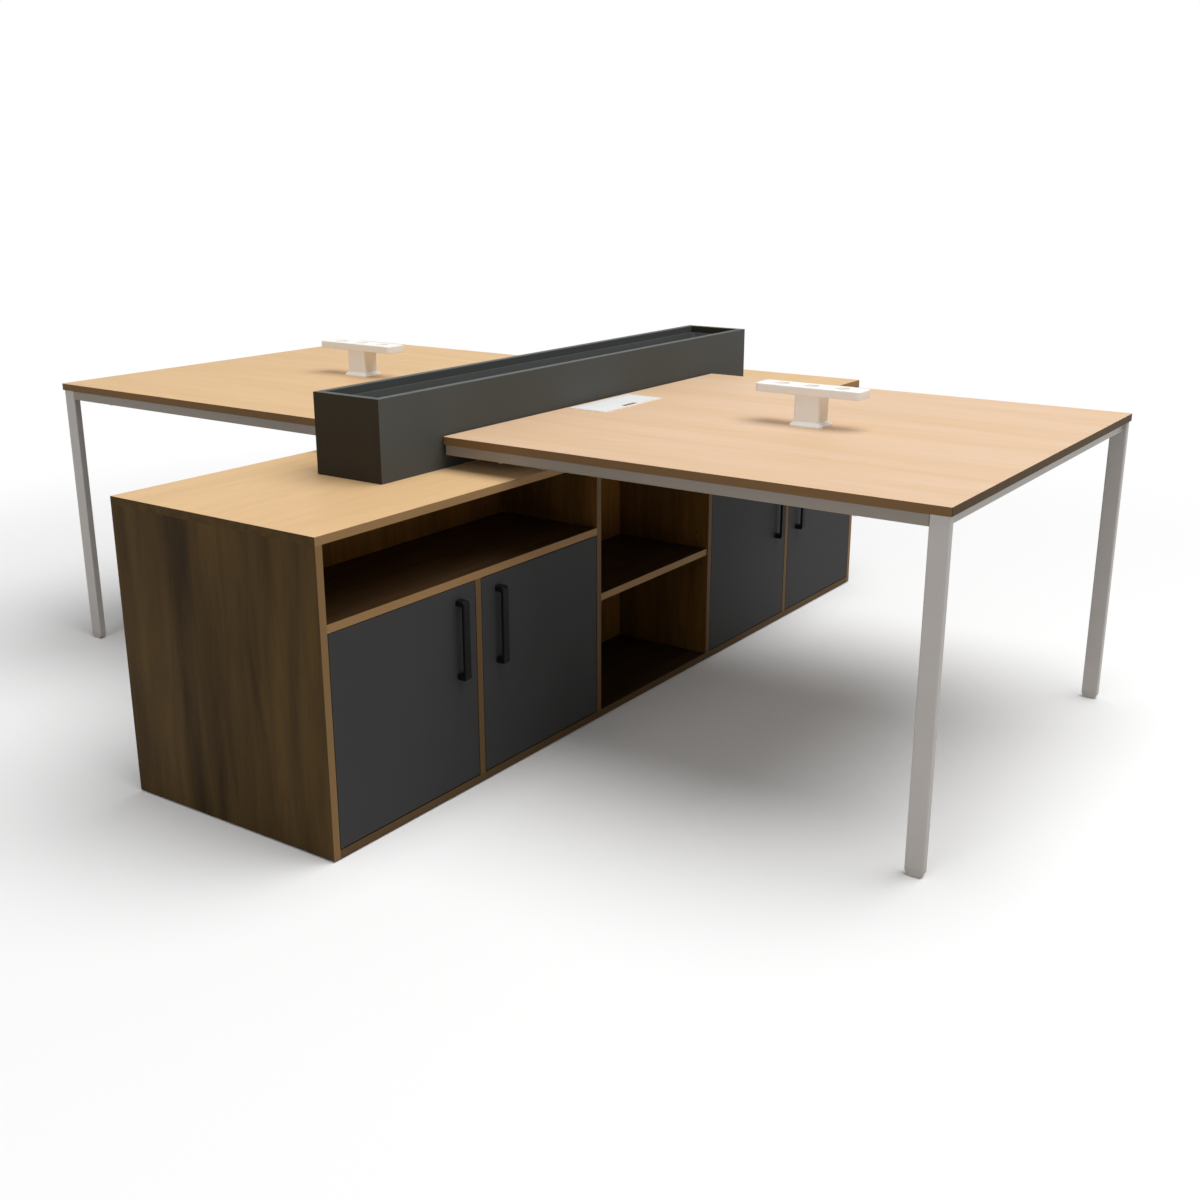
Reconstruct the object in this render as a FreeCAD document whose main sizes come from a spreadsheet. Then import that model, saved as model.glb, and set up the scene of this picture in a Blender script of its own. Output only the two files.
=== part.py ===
import FreeCAD, Part
import os
import re
import Sketcher

# Back-to-back workstation: a two-sided cabinet with a planter on it and a worktop on each side.
# X runs across the worktops, Y along the cabinet, Z up; the origin is on the floor at the middle.

SIZES = {
    # Cabinet carcass
    "board": 18.0,
    "compartment_depth": 291.0,
    "bay_width": 518.0,
    "door_opening_width": 443.5,
    "door_opening_height": 459.0,
    "slot_height": 159.0,
    "glide_height": 3.0,
    "glide_radius": 18.0,
    "glide_inset": 55.0,
    "board_ease": 1.5,
    # Shelf in the open bay, on pins in rows of bored holes
    "bay_lower_height": 286.0,
    "shelf_setback": 4.0,
    "shelf_end_play": 0.5,
    "shelf_pin_radius": 2.5,
    "shelf_pin_reach": 8.0,
    "shelf_pin_play": 0.05,
    "hole_inset": 37.0,
    "hole_pitch": 32.0,
    "hole_count": 5,
    # Inset doors on pivot pins
    "door_thickness": 18.0,
    "door_gap": 2.0,
    "door_ease": 1.0,
    "pivot_radius": 2.0,
    "pivot_play": 0.05,
    "pivot_edge_inset": 7.0,
    "pivot_face_inset": 5.0,
    "pivot_seat": 10.0,
    "pivot_reach": 12.0,
    "pivot_end_play": 1.0,
    "collar_radius": 4.5,
    "collar_play": 0.3,
    # Bar handles
    "handle_length": 180.0,
    "handle_width": 20.0,
    "handle_projection": 24.0,
    "handle_thickness": 7.2,
    "handle_post": 12.0,
    "handle_bend": 7.0,
    "handle_throat": 4.0,
    "handle_ease": 2.0,
    "handle_edge_offset": 56.0,
    "handle_drop": 28.0,
    # Planter and its lift-out liner
    "planter_width": 194.0,
    "planter_length": 1600.0,
    "planter_height": 185.0,
    "planter_board": 18.0,
    "liner_play": 2.0,
    "liner_lift": 0.3,
    "liner_height": 148.0,
    "liner_wall": 3.0,
    "liner_draft": 2.0,
    "liner_corner": 14.0,
    "liner_base_round": 6.0,
    # Worktops
    "table_gap": 3.0,
    "table_length": 1200.0,
    "table_depth": 1200.0,
    "top_thickness": 18.0,
    "top_corner": 4.0,
    # Steel frame under each worktop
    "rail_height": 25.0,
    "rail_width": 20.0,
    "rail_end_inset": 5.0,
    "tube_wall": 2.0,
    "tube_round": 3.0,
    "leg_width": 40.0,
    "leg_depth": 20.0,
    "leg_inset": 4.0,
    "foot_height": 18.0,
    "foot_round": 15.0,
    "foot_plug": 18.0,
    "foot_play": 0.2,
    "screw_inset": 150.0,
    "screw_radius": 2.0,
    "screw_play": 0.05,
    "screw_bite": 11.0,
    "screw_end_play": 1.0,
    "screw_head_radius": 4.5,
    "screw_head_height": 2.6,
    "standoff_height": 32.0,
    "standoff_radius": 8.0,
    "standoff_foot_radius": 17.0,
    "standoff_foot_height": 4.0,
    "standoff_offset": 420.0,
    # Cable port beside the planter
    "port_offset": 16.0,
    "port_width": 108.0,
    "port_length": 264.0,
    "port_lip": 5.0,
    "port_play": 0.5,
    "port_wall": 3.0,
    "port_flange": 2.0,
    "port_corner": 5.0,
    "port_rail_gap": 12.0,
    "lid_thickness": 2.0,
    "lid_play": 1.0,
    "lid_hinge_gap": 2.0,
    "lid_ledge": 3.0,
    "lid_ledge_depth": 2.0,
    "lid_ledge_play": 0.3,
    "lid_notch_length": 60.0,
    "lid_notch_width": 12.0,
    "lid_notch_corner": 4.0,
    "knuckle_radius": 3.0,
    "knuckle_length": 12.0,
    "knuckle_inset": 6.0,
    "knuckle_drop": 4.5,
    "lid_pin_radius": 1.25,
    "lid_pin_reach": 3.0,
    "lid_pin_play": 0.05,
    # Power unit on each worktop
    "post_offset": 620.0,
    "post_width": 66.0,
    "post_depth": 56.0,
    "post_height": 73.0,
    "post_corner": 8.0,
    "post_foot_width": 82.0,
    "post_foot_depth": 72.0,
    "post_foot_edge": 3.0,
    "post_foot_height": 12.0,
    "stem_radius": 20.0,
    "stem_play": 1.0,
    "stem_overrun": 6.0,
    "nut_radius": 34.0,
    "nut_height": 12.0,
    "nut_play": 0.05,
    "nut_grip_radius": 5.0,
    "nut_grip_count": 8,
    "bar_length": 270.0,
    "bar_depth": 65.0,
    "bar_height": 20.0,
    "bar_corner": 10.0,
    "bar_ease": 2.5,
    "socket_radius": 21.0,
    "socket_depth": 14.0,
    "socket_play": 0.1,
    "socket_rim": 2.5,
    "socket_recess": 7.0,
    "socket_pitch": 78.0,
    "socket_count": 3,
    "contact_radius": 2.6,
    "contact_depth": 5.0,
    "contact_offset": 9.5,
}

# Planes and positions that follow from the sizes
LEVELS = {
    "front": "board / 2 + compartment_depth",
    "bay_half": "bay_width / 2",
    "divider_out": "bay_half + board",
    "partition_in": "divider_out + door_opening_width",
    "end_in": "partition_in + board + door_opening_width",
    "cabinet_half": "end_in + board",
    "floor_in": "glide_height + board",
    "bay_shelf_under": "floor_in + bay_lower_height",
    "shelf_under": "floor_in + door_opening_height",
    "shelf_top": "shelf_under + board",
    "top_under": "shelf_top + slot_height",
    "cabinet_top": "top_under + board",
    "pivot_x": "front - pivot_face_inset",
    "rail_under": "cabinet_top + standoff_height",
    "worktop_under": "rail_under + rail_height",
    "worktop": "worktop_under + top_thickness",
    "table_in": "planter_width / 2 + table_gap",
    "table_out": "table_in + table_length",
    "leg_x": "table_out - leg_inset - leg_width / 2",
    "leg_y": "table_depth / 2 - leg_inset - leg_depth / 2",
    "rail_in": "table_in + rail_end_inset",
    "rail_out": "leg_x - leg_width / 2",
    "rail_x": "(rail_in + rail_out) / 2",
    "screw_in": "rail_in + screw_inset",
    "screw_out": "rail_out - screw_inset",
    "port_x": "table_in + port_offset + port_width / 2",
    "port_cut_width": "port_width - 2 * port_lip",
    "port_cut_length": "port_length - 2 * port_lip",
    "port_clear_width": "port_cut_width - 2 * port_play - 2 * port_wall",
    "port_clear_length": "port_cut_length - 2 * port_play - 2 * port_wall",
    "lid_length": "port_clear_length - 2 * lid_play",
    "lid_width": "port_clear_width - lid_hinge_gap - lid_play",
    "lid_hinge_x": "lid_hinge_gap + knuckle_inset - port_clear_width / 2",
    "cross_x": "port_x + port_width / 2 + port_rail_gap + rail_width / 2",
    "post_x": "table_in + post_offset",
    "planter_top": "cabinet_top + planter_height",
    "planter_in": "planter_width / 2 - planter_board",
    "planter_end_in": "planter_length / 2 - planter_board",
}

# Each door hangs from a hinge side and reaches the given way along Y; near to far on the right
DOOR_HINGES = [("-end_in", 1), ("-divider_out", -1), ("divider_out", 1), ("end_in", -1)]
SLOT_SHELVES = [("-end_in", "-divider_out", DOOR_HINGES[:2]), ("divider_out", "end_in", DOOR_HINGES[2:])]
PARTITIONS = [("-partition_in - board", "-partition_in"), ("partition_in", "partition_in + board")]
PIVOT_BORE = "pivot_radius + pivot_play"
NEAR_TO_FAR = ["1", "2", "3", "4"]

UP = FreeCAD.Vector(0, 0, 1)
UPRIGHT = FreeCAD.Rotation()
FLIPPED = FreeCAD.Rotation(FreeCAD.Vector(1, 0, 0), 180)
STANDING = FreeCAD.Rotation(FreeCAD.Vector(1, 0, 0), 90)
HALF_TURN = FreeCAD.Rotation(UP, 180)

doc = FreeCAD.newDocument("workstation")
pieces = {}


def fill_sheet(name, cells):
    """Write one named cell per row."""
    sheet = doc.addObject("Spreadsheet::Sheet", name)
    for row, (alias, content) in enumerate(cells.items(), start=1):
        sheet.set(f"A{row}", alias)
        sheet.set(f"B{row}", content)
        sheet.setAlias(f"B{row}", alias)
    doc.recompute()
    return sheet


def named(formula):
    """Put the sheet's name in front of each size in a formula."""
    def with_sheet(match):
        word = match.group(0)
        return f"Levels.{word}" if word in LEVELS else f"Sizes.{word}"
    return re.sub(r"[a-z]\w*", with_sheet, formula)


def size(alias):
    """The present value of one named size."""
    return float(getattr(levels if alias in LEVELS else sizes, alias))


def bind(thing, formulas):
    """Tie properties to the sheets."""
    for path, formula in formulas.items():
        thing.setExpression(path, named(formula))


def place(thing, x, y, z, side=1, spin=UPRIGHT):
    """Set a piece in the right half, or turned half round the upright axis into the left half."""
    turn = UPRIGHT if side > 0 else HALF_TURN
    path = "LinkPlacement" if thing.TypeId == "App::Link" else "Placement"
    setattr(thing, path, FreeCAD.Placement(FreeCAD.Vector(), turn * spin))
    bind(thing, {
        f"{path}.Base.x": f"{side} * ({x})",
        f"{path}.Base.y": f"{side} * ({y})",
        f"{path}.Base.z": z,
    })
    return thing


def keep(label, thing):
    """Name a finished piece."""
    thing.Label = label
    pieces[label] = thing


def board(x_span, y_span, z_span, side=1):
    """A plain board between two planes each way."""
    box = doc.addObject("Part::Box", "board")
    for path, (low, high) in zip(("Length", "Width", "Height"), (x_span, y_span, z_span)):
        bind(box, {path: f"({high}) - ({low})"})
    return place(box, x_span[0], y_span[0], z_span[0], side)


def lies_at(edge, axis, level):
    """Whether an edge lies in the plane at one level of an axis."""
    return all(abs(getattr(vertex, axis) - level) < 0.001 for vertex in edge.Vertexes)


def runs_along(edge, axis):
    """Whether an edge is straight and parallel to an axis."""
    if len(edge.Vertexes) != 2:
        return False
    step = edge.Vertexes[1].Point - edge.Vertexes[0].Point
    return abs(abs(getattr(step, axis)) - edge.Length) < 0.001


def slopes(edge):
    """Whether an edge is straight and climbs from one level to another."""
    if len(edge.Vertexes) != 2:
        return False
    step = edge.Vertexes[1].Point - edge.Vertexes[0].Point
    return abs(step.Length - edge.Length) < 0.001 and abs(step.z) > 0.5


def eased(base, radius, wanted):
    """Round the chosen edges of a board."""
    doc.recompute()
    rounded = doc.addObject("Part::Fillet", "eased")
    rounded.Base = base
    reach = size(radius)
    chosen = [number for number, edge in enumerate(base.Shape.Edges, start=1) if wanted(edge)]
    rounded.Edges = [(number, reach, reach) for number in chosen]
    return rounded


def drill(x, y, z, radius, depth, side=1):
    """An upright hole, named by its lower end."""
    hole = doc.addObject("Part::Cylinder", "drill")
    bind(hole, {"Radius": radius, "Height": depth})
    return place(hole, x, y, z, side)


def group(members):
    """Several separate solids of one kind."""
    gathered = doc.addObject("Part::Compound", "group")
    gathered.Links = members
    return gathered


def bored(base, holes):
    """A board with holes cut in it."""
    cut = doc.addObject("Part::Cut", "bored")
    cut.Base = base
    cut.Tool = group(holes)
    return cut


def copy_of(master, x, y, z, side=1, spin=UPRIGHT):
    """One more of a repeated piece."""
    link = doc.addObject("App::Link", "copy")
    link.LinkedObject = master
    return place(link, x, y, z, side, spin)


def new_body():
    return doc.addObject("PartDesign::Body", "body")


def datum(body, role):
    return next(item for item in body.Origin.OriginFeatures if item.Role == role)


def sketch_on(body, role, offset):
    """A sketch on one of the body's own planes, moved within that plane's axes."""
    sketch = body.newObject("Sketcher::SketchObject", "sketch")
    sketch.AttachmentSupport = [(datum(body, role), "")]
    sketch.MapMode = "FlatFace"
    bind(sketch, {f"AttachmentOffset.Base.{axis}": formula for axis, formula in zip("xyz", offset)})
    return sketch


def add_rectangle(sketch, width, height):
    """A rectangle centred on the sketch's origin."""
    first = sketch.GeometryCount
    signs = [(-1, -1), (1, -1), (1, 1), (-1, 1)]
    corners = [FreeCAD.Vector(x * 5 + first, y * 5 + first, 0) for x, y in signs]
    for index in range(4):
        sketch.addGeometry(Part.LineSegment(corners[index], corners[(index + 1) % 4]), False)
    for index in range(4):
        follower = first + (index + 1) % 4
        sketch.addConstraint(Sketcher.Constraint("Coincident", first + index, 2, follower, 1))
        level = "Horizontal" if index % 2 == 0 else "Vertical"
        sketch.addConstraint(Sketcher.Constraint(level, first + index))
    sketch.addConstraint(Sketcher.Constraint("Symmetric", first, 1, first + 1, 2, -1, 1))
    across = sketch.addConstraint(Sketcher.Constraint("DistanceX", first, 1, first, 2, 10.0))
    upward = sketch.addConstraint(Sketcher.Constraint("DistanceY", first + 1, 1, first + 1, 2, 10.0))
    bind(sketch, {f"Constraints[{across}]": width, f"Constraints[{upward}]": height})


def rectangle(body, role, width, height, offset=("0", "0", "0")):
    sketch = sketch_on(body, role, offset)
    add_rectangle(sketch, width, height)
    return sketch


def circle(body, role, radius, offset=("0", "0", "0")):
    sketch = sketch_on(body, role, offset)
    sketch.addGeometry(Part.Circle(FreeCAD.Vector(), UP, 5.0), False)
    sketch.addConstraint(Sketcher.Constraint("Coincident", 0, 3, -1, 1))
    radial = sketch.addConstraint(Sketcher.Constraint("Radius", 0, 5.0))
    bind(sketch, {f"Constraints[{radial}]": radius})
    return sketch


def pad(body, sketch, length, both_ways=False, backward=False):
    feature = body.newObject("PartDesign::Pad", "pad")
    feature.Profile = sketch
    feature.SideType = "Symmetric" if both_ways else "One side"
    feature.Reversed = backward
    bind(feature, {"Length": length})
    return feature


def pocket(body, sketch, depth, both_ways=False, backward=False):
    feature = body.newObject("PartDesign::Pocket", "pocket")
    feature.Profile = sketch
    feature.SideType = "Symmetric" if both_ways else "One side"
    feature.Reversed = backward
    bind(feature, {"Length": depth})
    return feature


def round_edges(body, radius, wanted):
    """Fillet the chosen edges of the body's last feature."""
    doc.recompute()
    last = body.Tip
    chosen = [f"Edge{number}" for number, edge in enumerate(last.Shape.Edges, start=1) if wanted(edge)]
    feature = body.newObject("PartDesign::Fillet", "round")
    feature.Base = (last, chosen)
    bind(feature, {"Radius": radius})
    return feature


def repeat_in_line(body, features, axis, length, count):
    """Repeat features at even steps along one of the body's axes."""
    pattern = body.newObject("PartDesign::LinearPattern", "row")
    pattern.Originals = features
    pattern.Direction = (datum(body, axis), [""])
    bind(pattern, {"Length": length, "Occurrences": count})
    body.Tip = pattern


def repeat_around(body, features, count):
    """Repeat features round the body's upright axis."""
    pattern = body.newObject("PartDesign::PolarPattern", "ring")
    pattern.Originals = features
    pattern.Axis = (datum(body, "Z_Axis"), [""])
    pattern.Angle = 360
    bind(pattern, {"Occurrences": count})
    body.Tip = pattern


def tube(role, width, height, length):
    """A rectangular steel tube with rounded corners, centred on its own middle."""
    body = new_body()
    sketch = rectangle(body, role, width, height)
    add_rectangle(sketch, f"{width} - 2 * tube_wall", f"{height} - 2 * tube_wall")
    pad(body, sketch, length, both_ways=True)
    axis = {"YZ_Plane": "x", "XZ_Plane": "y", "XY_Plane": "z"}[role]
    doc.recompute()
    farthest = max(vertex.Point.Length for vertex in body.Shape.Vertexes)

    def outer_corner(edge):
        return runs_along(edge, axis) and abs(edge.Vertexes[0].Point.Length - farthest) < 0.001

    round_edges(body, "tube_round", outer_corner)
    return body


def side_name(side):
    return "right" if side > 0 else "left"


def build_carcass():
    """Boards of the two-sided cabinet, from the floor glides up to the top board."""
    whole_x = ("-front", "front")
    half_x = ("board / 2", "front")
    inside_y = ("-end_in", "end_in")
    top = board(whole_x, ("-cabinet_half", "cabinet_half"), ("top_under", "cabinet_top"))
    keep("cabinet_top", eased(top, "board_ease", lambda edge: lies_at(edge, "Z", size("cabinet_top"))))
    keep("end_panel_near", board(whole_x, ("-cabinet_half", "-end_in"), ("glide_height", "top_under")))
    keep("end_panel_far", board(whole_x, ("end_in", "cabinet_half"), ("glide_height", "top_under")))
    keep("spine_panel", board(("-board / 2", "board / 2"), inside_y, ("floor_in", "top_under")))

    bottom = board(whole_x, inside_y, ("glide_height", "floor_in"))
    seats = []
    shelves = []
    partitions = []
    for side in (1, -1):
        for hinge, way in DOOR_HINGES:
            y = pivot_y(hinge, way)
            seats.append(drill("pivot_x", y, "floor_in - pivot_seat", PIVOT_BORE, "pivot_seat", side))
        for low, high, hinges in SLOT_SHELVES:
            holes = []
            for hinge, way in hinges:
                y = pivot_y(hinge, way)
                holes.append(drill("pivot_x", y, "shelf_under", PIVOT_BORE, "pivot_seat", side))
            shelves.append(bored(board(half_x, (low, high), ("shelf_under", "shelf_top"), side), holes))
        for low, high in PARTITIONS:
            partitions.append(board(half_x, (low, high), ("floor_in", "shelf_under"), side))
    keep("cabinet_bottom", bored(bottom, seats))
    keep("slot_shelves", group(shelves))
    keep("door_partitions", group(partitions))

    for side in (1, -1):
        near, far = ("near", "far") if side > 0 else ("far", "near")
        name = side_name(side)
        keep(f"bay_divider_{name}_{near}",
             place(divider(), "board / 2", "-bay_half", "floor_in", side, STANDING))
        keep(f"bay_divider_{name}_{far}",
             place(divider(), "front", "bay_half", "floor_in", side, HALF_TURN * STANDING))


def divider():
    """Upright board of the open bay, with two rows of shelf-pin holes in its bay face."""
    body = new_body()
    height = "(top_under - floor_in)"
    face = rectangle(body, "XY_Plane", "compartment_depth", height,
                     ("compartment_depth / 2", f"{height} / 2", "0"))
    pad(body, face, "board")
    lowest = "bay_lower_height - shelf_pin_radius - hole_pitch * (hole_count - 1) / 2"
    rows = []
    for x in ("hole_inset", "compartment_depth - hole_inset"):
        hole = circle(body, "XY_Plane", "shelf_pin_radius + shelf_pin_play", (x, lowest, "0"))
        rows.append(pocket(body, hole, "shelf_pin_reach", backward=True))
    repeat_in_line(body, rows, "Y_Axis", "hole_pitch * (hole_count - 1)", "hole_count")
    return body


def build_bay_shelves():
    """One loose shelf in each open bay, on four pins."""
    pin = new_body()
    pad(pin, circle(pin, "XZ_Plane", "shelf_pin_radius"), "2 * shelf_pin_reach", both_ways=True)
    pins = []
    shelves = []
    span_y = ("-bay_half + shelf_end_play", "bay_half - shelf_end_play")
    span_z = ("bay_shelf_under", "bay_shelf_under + board")
    for side in (1, -1):
        shelves.append(board(("board / 2", "front - shelf_setback"), span_y, span_z, side))
        for x in ("board / 2 + hole_inset", "front - hole_inset"):
            for y in ("-bay_half", "bay_half"):
                pins.append(copy_of(pin, x, y, "bay_shelf_under - shelf_pin_radius", side))
    keep("bay_shelves", group(shelves))
    keep("shelf_pins", group(pins))


def build_glides():
    """Round floor glides under the bottom board."""
    glide = new_body()
    pad(glide, circle(glide, "XY_Plane", "glide_radius"), "glide_height")
    round_edges(glide, "glide_height / 3", lambda edge: lies_at(edge, "Z", 0.0))
    glides = []
    for side in (1, -1):
        for y in ("-end_in + glide_inset", "-partition_in", "0", "partition_in", "end_in - glide_inset"):
            glides.append(copy_of(glide, "front - glide_inset", y, "0", side))
    keep("cabinet_glides", group(glides))


def pivot_y(hinge, way):
    return f"{hinge} + {way} * (door_gap + pivot_edge_inset)"


def build_doors():
    """Inset doors, their handles and the pins that they turn on."""
    pin = new_body()
    pad(pin, circle(pin, "XY_Plane", "pivot_radius", ("0", "0", "-pivot_seat")),
        "pivot_seat + door_gap + pivot_reach")
    pad(pin, circle(pin, "XY_Plane", "collar_radius"), "door_gap - collar_play")
    pins = []
    door_low = "floor_in + door_gap"
    door_high = "shelf_under - door_gap"
    for side in (1, -1):
        order = NEAR_TO_FAR if side > 0 else NEAR_TO_FAR[::-1]
        for number, (hinge, way) in zip(order, DOOR_HINGES):
            label = f"door_{side_name(side)}_{number}"
            ends = [f"{hinge} + {way} * door_gap", f"{hinge} + {way} * (door_opening_width - door_gap)"]
            span_y = ends if way > 0 else ends[::-1]
            panel = board(("front - door_thickness", "front"), span_y, (door_low, door_high), side)
            front = side * size("front")
            panel = eased(panel, "door_ease", lambda edge: lies_at(edge, "X", front))
            depth = "pivot_reach + pivot_end_play"
            y = pivot_y(hinge, way)
            low_bore = drill("pivot_x", y, door_low, PIVOT_BORE, depth, side)
            high_bore = drill("pivot_x", y, f"{door_high} - ({depth})", PIVOT_BORE, depth, side)
            keep(label, bored(panel, [low_bore, high_bore]))
            grip_y = f"{hinge} + {way} * (door_opening_width - door_gap - handle_edge_offset)"
            grip_z = f"{door_high} - handle_drop - handle_length / 2"
            keep(f"{label}_handle", place(handle(), "front", grip_y, grip_z, side))
            pins.append(copy_of(pin, "pivot_x", y, "floor_in", side))
            pins.append(copy_of(pin, "pivot_x", y, "shelf_under", side, FLIPPED))
    keep("door_pivot_pins", group(pins))


def handle():
    """Upright bar handle: one flat bar bent out to a grip between two posts."""
    body = new_body()
    blank = rectangle(body, "XZ_Plane", "handle_projection", "handle_length",
                      ("handle_projection / 2", "0", "0"))
    pad(body, blank, "handle_width", both_ways=True)
    grip = size("handle_projection")
    round_edges(body, "handle_bend", lambda edge: runs_along(edge, "y") and lies_at(edge, "X", grip))
    gap = "(handle_projection - handle_thickness)"
    throat = rectangle(body, "XZ_Plane", gap, "handle_length - 2 * handle_post", (f"{gap} / 2", "0", "0"))
    pocket(body, throat, "handle_width", both_ways=True)
    under = grip - size("handle_thickness")
    round_edges(body, "handle_throat", lambda edge: runs_along(edge, "y") and lies_at(edge, "X", under))
    half_width = size("handle_width") / 2
    half_length = size("handle_length") / 2

    def on_outline(edge):
        if not (lies_at(edge, "Y", half_width) or lies_at(edge, "Y", -half_width)):
            return False
        middle = edge.CenterOfMass
        return middle.x > under + 0.5 * size("handle_thickness") or abs(middle.z) > half_length - 0.01

    round_edges(body, "handle_ease", on_outline)
    return body


def build_planter():
    """Open box of boards on the cabinet, with a tapered liner standing in it."""
    height = ("cabinet_top", "planter_top")
    rim = size("planter_top")
    for side in (1, -1):
        wall = board(("planter_in", "planter_width / 2"), ("-planter_length / 2", "planter_length / 2"),
                     height, side)
        keep(f"planter_side_{side_name(side)}",
             eased(wall, "board_ease", lambda edge: lies_at(edge, "Z", rim)))
    for name, side in (("near", -1), ("far", 1)):
        wall = board(("-planter_in", "planter_in"), ("planter_end_in", "planter_length / 2"), height, side)
        keep(f"planter_end_{name}",
             eased(wall, "board_ease", lambda edge: lies_at(edge, "Z", rim) and runs_along(edge, "x")))
    keep("planter_floor", board(("-planter_in", "planter_in"), ("-planter_end_in", "planter_end_in"),
                                ("cabinet_top", "cabinet_top + planter_board")))

    liner = new_body()
    mouth = rectangle(liner, "XY_Plane", "2 * (planter_in - liner_play)",
                      "2 * (planter_end_in - liner_play)", ("0", "0", "liner_height"))
    block = pad(liner, mouth, "liner_height", backward=True)
    bind(block, {"TaperAngle": "-liner_draft"})
    well = rectangle(liner, "XY_Plane", "2 * (planter_in - liner_play - liner_wall)",
                     "2 * (planter_end_in - liner_play - liner_wall)", ("0", "0", "liner_height"))
    hollow = pocket(liner, well, "liner_height - liner_wall")
    bind(hollow, {"TaperAngle": "-liner_draft"})
    outer = size("planter_in") - size("liner_play")
    for radius, mouth_half in (("liner_corner - liner_wall", outer - size("liner_wall")),
                               ("liner_corner", outer)):
        round_edges(liner, radius, lambda edge: slopes(edge) and any(
            abs(abs(vertex.X) - mouth_half) < 0.001 for vertex in edge.Vertexes))
    round_edges(liner, "liner_base_round", lambda edge: lies_at(edge, "Z", 0.0))
    keep("planter_liner", place(liner, "0", "0", "cabinet_top + planter_board + liner_lift"))


def build_tables():
    """A worktop on each side, on a steel frame with legs outside and standoffs on the cabinet."""
    foot = leg_foot()
    standoff = turned_standoff()
    screw = rail_screw()
    feet = []
    standoffs = []
    screws = []
    for side in (1, -1):
        name = side_name(side)
        keep(f"worktop_{name}", place(worktop(), "table_in + table_length / 2", "0", "worktop_under", side))
        keep(f"leg_frame_{name}", leg_frame(side))
        rail_z = "rail_under + rail_height / 2"
        for end, y in (("near", "-leg_y"), ("far", "leg_y")):
            flip = y if side > 0 else f"-({y})"
            keep(f"side_rail_{name}_{end}", place(side_rail(), "rail_x", flip, rail_z, side))
            feet.append(copy_of(foot, "leg_x", y, "0", side))
            for x in ("screw_in", "screw_out"):
                screws.append(copy_of(screw, x, y, "rail_under", side))
        cross = tube("XZ_Plane", "rail_width", "rail_height", "2 * leg_y - rail_width")
        keep(f"cross_rail_{name}", place(cross, "cross_x", "0", rail_z, side))
        for y in ("-standoff_offset", "0", "standoff_offset"):
            standoffs.append(copy_of(standoff, "cross_x", y, "cabinet_top", side))
    keep("leg_feet", group(feet))
    keep("rail_standoffs", group(standoffs))
    keep("rail_screws", group(screws))


def worktop():
    """Square top with a cut-out for the cable port, a hole for the power unit's stem and screw pilots."""
    body = new_body()
    pad(body, rectangle(body, "XY_Plane", "table_length", "table_depth"), "top_thickness")
    round_edges(body, "top_corner", lambda edge: runs_along(edge, "z"))
    upper = size("top_thickness")
    round_edges(body, "board_ease", lambda edge: lies_at(edge, "Z", upper))
    middle = "table_in + table_length / 2"
    cut = rectangle(body, "XY_Plane", "port_cut_width", "port_cut_length",
                    (f"port_x - ({middle})", "0", "top_thickness"))
    pocket(body, cut, "top_thickness")
    hole = circle(body, "XY_Plane", "stem_radius + stem_play",
                  (f"post_x - ({middle})", "0", "top_thickness"))
    pocket(body, hole, "top_thickness")
    for x in ("screw_in", "screw_out"):
        for y in ("-leg_y", "leg_y"):
            pilot = circle(body, "XY_Plane", "screw_radius + screw_play", (f"{x} - ({middle})", y, "0"))
            pocket(body, pilot, "screw_bite + screw_end_play", backward=True)
    return body


def side_rail():
    """Rail from the leg to the cabinet end of the worktop, drilled for two screws."""
    body = tube("YZ_Plane", "rail_width", "rail_height", "rail_out - rail_in")
    for x in ("screw_in", "screw_out"):
        hole = circle(body, "XY_Plane", "screw_radius + screw_play",
                      (f"{x} - rail_x", "0", "rail_height / 2"))
        pocket(body, hole, "rail_height")
    return body


def rail_screw():
    """Pan-head screw that goes up through a rail into the worktop."""
    body = new_body()
    pad(body, circle(body, "XY_Plane", "screw_head_radius"), "screw_head_height", backward=True)
    pad(body, circle(body, "XY_Plane", "screw_radius"), "rail_height + screw_bite")
    under = -size("screw_head_height")
    round_edges(body, "screw_head_height / 2", lambda edge: lies_at(edge, "Z", under))
    return body


def leg_frame(side):
    """Two legs welded to the outer rail between them."""
    length = "worktop_under - foot_height"
    members = []
    for y in ("-leg_y", "leg_y"):
        leg = tube("XY_Plane", "leg_width", "leg_depth", length)
        members.append(place(leg, "leg_x", y, f"foot_height + ({length}) / 2", side))
    rail = tube("XZ_Plane", "rail_width", "rail_height", "2 * leg_y - leg_depth")
    members.append(place(rail, "leg_x", "0", "rail_under + rail_height / 2", side))
    welded = doc.addObject("Part::MultiFuse", "welded")
    welded.Shapes = members
    return welded


def leg_foot():
    """Plastic foot with a rounded base and a plug that fits inside the leg."""
    body = new_body()
    pad(body, rectangle(body, "XY_Plane", "leg_width", "leg_depth"), "foot_height")
    round_edges(body, "foot_round", lambda edge: runs_along(edge, "y") and lies_at(edge, "Z", 0.0))
    top = size("foot_height")
    broad_face = size("leg_depth") / 2

    def on_outline(edge):
        on_face = lies_at(edge, "Y", broad_face) or lies_at(edge, "Y", -broad_face)
        return on_face and not lies_at(edge, "Z", top)

    round_edges(body, "tube_round", on_outline)
    clear = "2 * (tube_wall + foot_play)"
    plug = rectangle(body, "XY_Plane", f"leg_width - {clear}", f"leg_depth - {clear}",
                     ("0", "0", "foot_height"))
    pad(body, plug, "foot_plug")
    return body


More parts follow.
